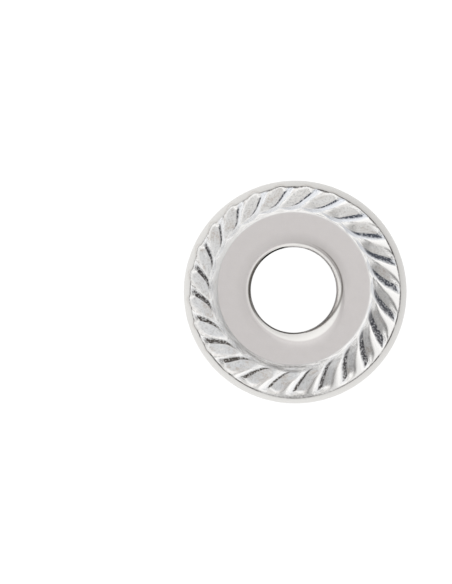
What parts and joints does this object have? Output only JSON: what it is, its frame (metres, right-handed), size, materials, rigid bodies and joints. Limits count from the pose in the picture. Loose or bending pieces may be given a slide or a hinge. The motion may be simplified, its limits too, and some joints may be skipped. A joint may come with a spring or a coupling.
{
  "type": "serrated flange nut",
  "caption": "Hexagon nut with a round flange whose bearing face carries a ring of slanted locking serrations.",
  "frame": {"origin": "on the bore's axis, in the plane of the plain end face of the hexagon, on which the nut stands", "axes": "+Z along the bore from the hexagon end towards the serrated bearing face, +X towards a corner of the hexagon"},
  "size_m": [0.0172, 0.0172, 0.008],
  "materials": {
    "steel": "satin"
  },
  "bodies": {
    "root": {"flange_nut": "steel"}
  },
  "joints": []
}
